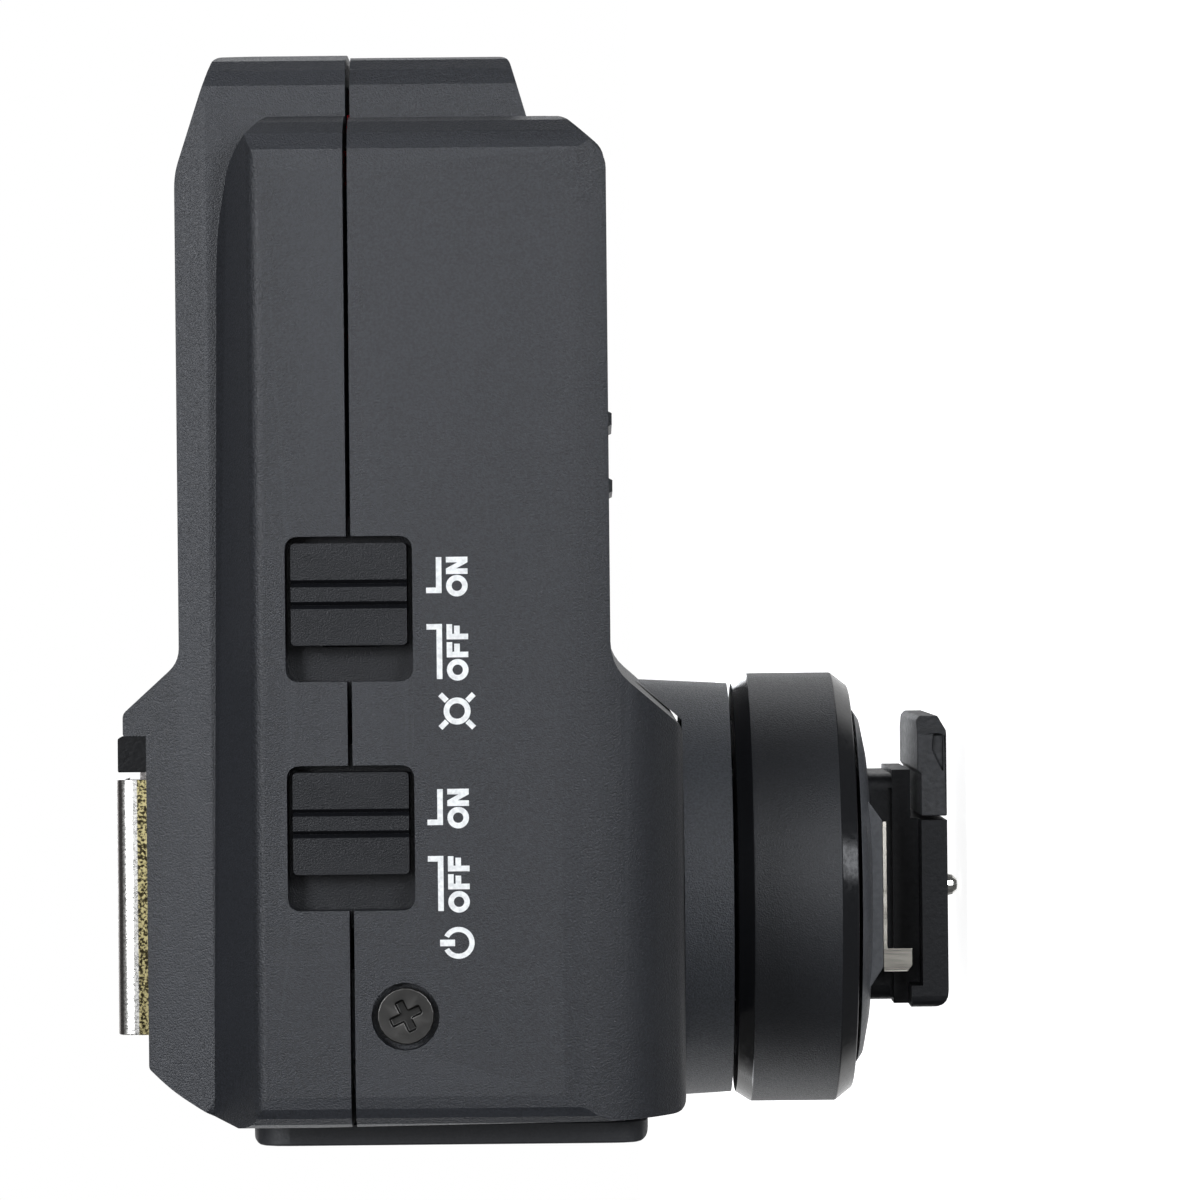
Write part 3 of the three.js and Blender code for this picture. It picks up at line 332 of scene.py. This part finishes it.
def refined(node, material, radius=0.15, segments=2, sharp=28):
    """A copy of a CAD node, its triangles merged into faces, its edges rounded by that many mm.

    Only edges that turn by more than sharp degrees are rounded, and none if the radius is 0.
    """
    mesh = nodes[node].data.copy()
    mesh.name = node + "_fine"
    if mesh.attributes.get("custom_normal"):
        mesh.attributes.remove(mesh.attributes["custom_normal"])
    bm = bmesh.new()
    bm.from_mesh(mesh)
    bmesh.ops.remove_doubles(bm, verts=bm.verts, dist=WELD_DISTANCE)
    bmesh.ops.dissolve_degenerate(bm, edges=bm.edges, dist=SLIVER_LENGTH)
    bmesh.ops.dissolve_limit(bm, angle_limit=math.radians(COPLANAR_DEGREES), verts=bm.verts, edges=bm.edges)
    bmesh.ops.connect_verts_concave(bm, faces=bm.faces)
    bm.to_mesh(mesh)
    bm.free()
    piece = new_object(node + "_skin", mesh, material, body_of[node])
    if radius:
        rounding = piece.modifiers.new("rounding", "BEVEL")
        rounding.width = radius * MM
        rounding.segments = segments
        rounding.limit_method = "ANGLE"
        rounding.angle_limit = math.radians(sharp)
        rounding.use_clamp_overlap = True
        rounding.harden_normals = True
        rounding.miter_outer = "MITER_ARC"
    for polygon in mesh.polygons:
        level = max(abs(part) for part in polygon.normal) > SQUARE
        polygon.use_smooth = polygon.area < BROAD_FACE and not (level and polygon.area > LEVEL_FACE)
    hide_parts(node)
    return piece


for name in ("top_shell", "bottom_shell"):
    refined(name, casing, 0.22, 2, 13)
refined("battery_door", casing, 0.15)
refined("rear_panel", panel, 0.2)
refined("neck_collar", collar, 0.12, 2, 20)
ring = refined("lock_ring", ring_matte, 0.1)
ring.data.materials.append(ring_gloss)
for polygon in ring.data.polygons:
    on_chamfer = 0.3 < abs(polygon.normal.z) < 0.95
    if on_chamfer:
        polygon.material_index = 1
refined("clamp_disc", disc_plastic, 0.1)
refined("foot", foot_plastic, 0.12)
refined("foot_contact_block", foot_rough, 0.12)
refined("shoe_rails", shoe_steel, 0.08)
refined("shoe_base", foot_plastic, 0.12)
for side in ("right", "left"):
    refined(f"clamp_plate_{side}", steel, 0.04, 1)
for switch in ("power", "assist"):
    refined(f"{switch}_switch_knob", knob_plastic, 0.1)
    refined(f"{switch}_switch_floor", knob_plastic, 0.1)
for i in range(1, 6):
    refined(f"group_button_{i}", rubber, 0.25, 3)
for i in range(1, 5):
    refined(f"function_button_{i}", rubber, 0.25, 3)
refined("selector_dial", knob_plastic, 0.05)
refined("set_button", rubber, 0.05)
refined("test_button", rubber, 0.15)

# The contact spring stays unrounded and gets a mesh of its own.
spring = refined("contact_spring", contact_metal, 0)
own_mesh(spring)

LEFT_AS_CAD = {
    "status_lamp": lamp_pane,
    "assist_lamp_window": red_pane,
    "assist_lamp_led": red_pane,
    "cam_sleeve": inner_plastic,
    "centre_contact_pin": contact_metal,
    "shoe_contact": gold,
    "display_window": window_pane,
    "display_module": crystal,
    "key_mat": rubber,
    "main_board": circuit_board,
    "radio_module": port_metal,
    "encoder_body": inner_plastic,
    "usb_port": port_metal,
    "sync_jack": inner_plastic,
    "power_switch_body": inner_plastic,
    "assist_switch_body": inner_plastic,
    "battery_tray": inner_plastic,
    "battery_cell_rear": cell_jacket,
    "battery_cell_front": cell_jacket,
    "battery_terminal_negative": contact_metal,
    "battery_terminal_positive": contact_metal,
    "battery_link": contact_metal,
}
for node, material in LEFT_AS_CAD.items():
    nodes[node].data.materials.clear()
    nodes[node].data.materials.append(material)
for node in [name for name in slot_of if "screw" in name]:
    refined(node, screw_black, 0.09, 3, 35)


# ---------- White marks beside the two switches: all in mm ----------
INK_BACK, INK_FRONT = 34.99, 35.03  # X
STROKE = 0.36
CAP_HEIGHT = 1.39
N_WIDTH, N_DIAGONAL = 0.75, 0.66  # across the letter without its right stem; height of the slanting stroke
LEADER_GAP = 0.29  # between the letters and the line that leads to the switch
TICK_LENGTH = 0.64
ASSIST_MARKS = (13.48, 32.72)  # Y and Z of the first letter's lower left corner
POWER_MARKS = (-1.47, 32.78)
LAMP_SYMBOL = (11.52, 33.48)  # Y and Z of the centre
POWER_SYMBOL = (-3.42, 33.53)


def box_mark(y, z, width, height):
    """An upright rectangle from its lower left corner."""
    return [[(y, z), (y + width, z), (y + width, z + height), (y, z + height)]]


def ring_mark(y, z, outer, inner, opening=0):
    """A ring as a row of quads, open towards +Z by that many degrees to each side."""
    start, steps = math.radians(90 + opening), 36
    sweep = math.radians(360 - 2 * opening) / steps
    quads = []
    for step in range(steps):
        first, second = start + step * sweep, start + (step + 1) * sweep
        corners = ((outer, first), (outer, second), (inner, second), (inner, first))
        quads.append([(y + radius * math.cos(angle), z + radius * math.sin(angle)) for radius, angle in corners])
    return quads


def ray_marks(y, z, distance, length, width):
    """Four short diagonal rays round a lamp."""
    quads = []
    for turn_index in range(4):
        angle = math.radians(45 + 90 * turn_index)
        along, across = Vector((math.cos(angle), math.sin(angle))), Vector((-math.sin(angle), math.cos(angle)))
        quads.append([
            tuple(Vector((y, z)) + along * (distance + a * length / 2) + across * (b * width / 2))
            for a, b in ((-1, -1), (1, -1), (1, 1), (-1, 1))
        ])
    return quads


def letter(kind, y, z):
    """O, F or N, its lower left corner at y, z."""
    half = CAP_HEIGHT / 2
    if kind == "O":
        return ring_mark(y + half, z + half, half, half - STROKE)
    spine = box_mark(y, z, STROKE, CAP_HEIGHT)
    if kind == "F":
        top_arm = box_mark(y + STROKE, z + CAP_HEIGHT - STROKE, 0.62, STROKE)
        return spine + top_arm + box_mark(y + STROKE, z + half - 0.15, 0.52, STROKE)
    left, right, top = y + STROKE, y + N_WIDTH, z + CAP_HEIGHT
    diagonal = [[(left, top - N_DIAGONAL), (right, z), (right, z + N_DIAGONAL), (left, top)]]
    return spine + diagonal + box_mark(right, z, STROKE, CAP_HEIGHT)


def switch_marks(y, z):
    """OFF and ON with the lines that lead to the switch. y, z: the first letter's lower left corner."""
    quads = letter("O", y, z) + letter("F", y + 1.5, z) + letter("F", y + 2.66, z)
    quads += letter("O", y + 5.42, z) + letter("N", y + 6.87, z)
    line = z + CAP_HEIGHT + LEADER_GAP
    tick = line + STROKE
    quads += box_mark(y + 0.11, line, 3.55, STROKE) + box_mark(y + 3.3, tick, STROKE, TICK_LENGTH)
    return quads + box_mark(y + 5.65, line, 2.32, STROKE) + box_mark(y + 5.65, tick, STROKE, TICK_LENGTH)


def printed(name, quads):
    """The marks as one thin layer of ink on the side."""
    corners, faces = [], []
    for quad in quads:
        first = len(corners)
        for x in (INK_BACK, INK_FRONT):
            corners += [(x * MM, y * MM, z * MM) for y, z in quad]
        sides = [(k, (k + 1) % 4, (k + 1) % 4 + 4, k + 4) for k in range(4)]
        faces += [[first + k for k in face] for face in [(3, 2, 1, 0), (4, 5, 6, 7)] + sides]
    mesh = bpy.data.meshes.new(name)
    mesh.from_pydata(corners, [], faces)
    new_object(name, mesh, white_ink, "housing")


printed("assist_marks", switch_marks(*ASSIST_MARKS))
printed("power_marks", switch_marks(*POWER_MARKS))
printed("lamp_symbol", ring_mark(*LAMP_SYMBOL, 0.87, 0.50) + ray_marks(*LAMP_SYMBOL, 1.23, 0.6, 0.35))
printed("power_symbol", ring_mark(*POWER_SYMBOL, 1.03, 0.70, 28) + box_mark(-3.63, 33.76, 0.42, 0.96))


# ---------- Floor and lights ----------
FLOOR_HALF = 3.0
FLOOR_Z = -0.0016  # just under the tip of the centre contact
ROOM_LIGHT = 0.10
BACKDROP_LIGHT = 0.9
BACKDROP_FROM, BACKDROP_FULL = -0.45, -0.65  # X of the direction in which the backdrop starts, and is full
COOL_WHITE = (0.93, 0.955, 1.0)


def pale_floor():
    """Paper that the camera sees, and that neither lights nor shadows the object."""
    low, high, z = -FLOOR_HALF, FLOOR_HALF, FLOOR_Z
    corners = [(low, low, z), (high, low, z), (high, high, z), (low, high, z)]
    mesh = bpy.data.meshes.new("floor")
    mesh.from_pydata(corners, [], [(0, 1, 2, 3)])
    floor = bpy.data.objects.new("floor", mesh)
    scene.collection.objects.link(floor)
    f = Finish("floor_paper", (0.88, 0.88, 0.88), 0.9)
    f.vary_color(f.noise(4, 2), 0.3, 0.7, 0.99, 1.01)
    f.set("Emission Color", (1, 1, 1, 1))
    f.set("Emission Strength", 0.9)
    mesh.materials.append(f.material)
    floor.visible_diffuse = False
    floor.visible_glossy = False
    floor.visible_shadow = False


def soft_light(name, place, target, size, watts):
    data = bpy.data.lights.new(name, "AREA")
    data.shape = "RECTANGLE"
    data.size, data.size_y = size
    data.energy = watts
    data.color = COOL_WHITE
    light = bpy.data.objects.new(name, data)
    scene.collection.objects.link(light)
    light.location = place
    light.rotation_mode = "QUATERNION"
    light.rotation_quaternion = (Vector(place) - Vector(target)).to_track_quat("Z", "Y")
    return light


def studio_world():
    """A white surround to look at. What lights the object is a dim room with a bright backdrop behind it."""
    world = bpy.data.worlds.new("studio")
    world.use_nodes = True
    tree = world.node_tree
    seen = tree.nodes["Background"]
    fill = tree.nodes.new("ShaderNodeBackground")
    for background in (seen, fill):
        background.inputs["Color"].default_value = (1, 1, 1, 1)
    direction = tree.nodes.new("ShaderNodeSeparateXYZ")
    tree.links.new(tree.nodes.new("ShaderNodeTexCoord").outputs["Generated"], direction.inputs["Vector"])
    backdrop = tree.nodes.new("ShaderNodeMapRange")
    backdrop.inputs["From Min"].default_value = BACKDROP_FROM
    backdrop.inputs["From Max"].default_value = BACKDROP_FULL
    backdrop.inputs["To Min"].default_value = ROOM_LIGHT
    backdrop.inputs["To Max"].default_value = BACKDROP_LIGHT
    tree.links.new(direction.outputs["X"], backdrop.inputs["Value"])
    tree.links.new(backdrop.outputs["Result"], fill.inputs["Strength"])
    either = tree.nodes.new("ShaderNodeMixShader")
    ray = tree.nodes.new("ShaderNodeLightPath")
    tree.links.new(ray.outputs["Is Camera Ray"], either.inputs["Fac"])
    tree.links.new(fill.outputs["Background"], either.inputs[1])
    tree.links.new(seen.outputs["Background"], either.inputs[2])
    tree.links.new(either.outputs["Shader"], tree.nodes["World Output"].inputs["Surface"])
    scene.world = world


pale_floor()
studio_world()
middle = (0, 0.018, 0.03)
soft_light("key_softbox", (0.60, 0.28, 0.06), middle, (0.20, 0.30), 0.42)
soft_light("low_softbox", (0.54, 0.20, -0.30), middle, (0.22, 0.20), 2.2)
soft_light("high_softbox", (0.52, 0.12, 0.34), middle, (0.25, 0.18), 2.6)
soft_light("low_strip", (0.12, 0.10, -0.56), (0, 0, 0.01), (0.10, 0.12), 0.14)
soft_light("nose_softbox", (-0.36, 0.52, 0.05), middle, (0.3, 0.4), 0.7)
soft_light("tail_softbox", (-0.30, -0.50, 0.10), middle, (0.25, 0.3), 0.6)
soft_light("left_softbox", (-0.62, 0.1, 0.2), middle, (0.3, 0.4), 1.2)
glint = soft_light("glint_card", (0.75, 0.03, 0.03), middle, (0.14, 0.14), 0.19)
glint.visible_diffuse = False  # adds to reflections only
scene.view_settings.view_transform = "Standard"
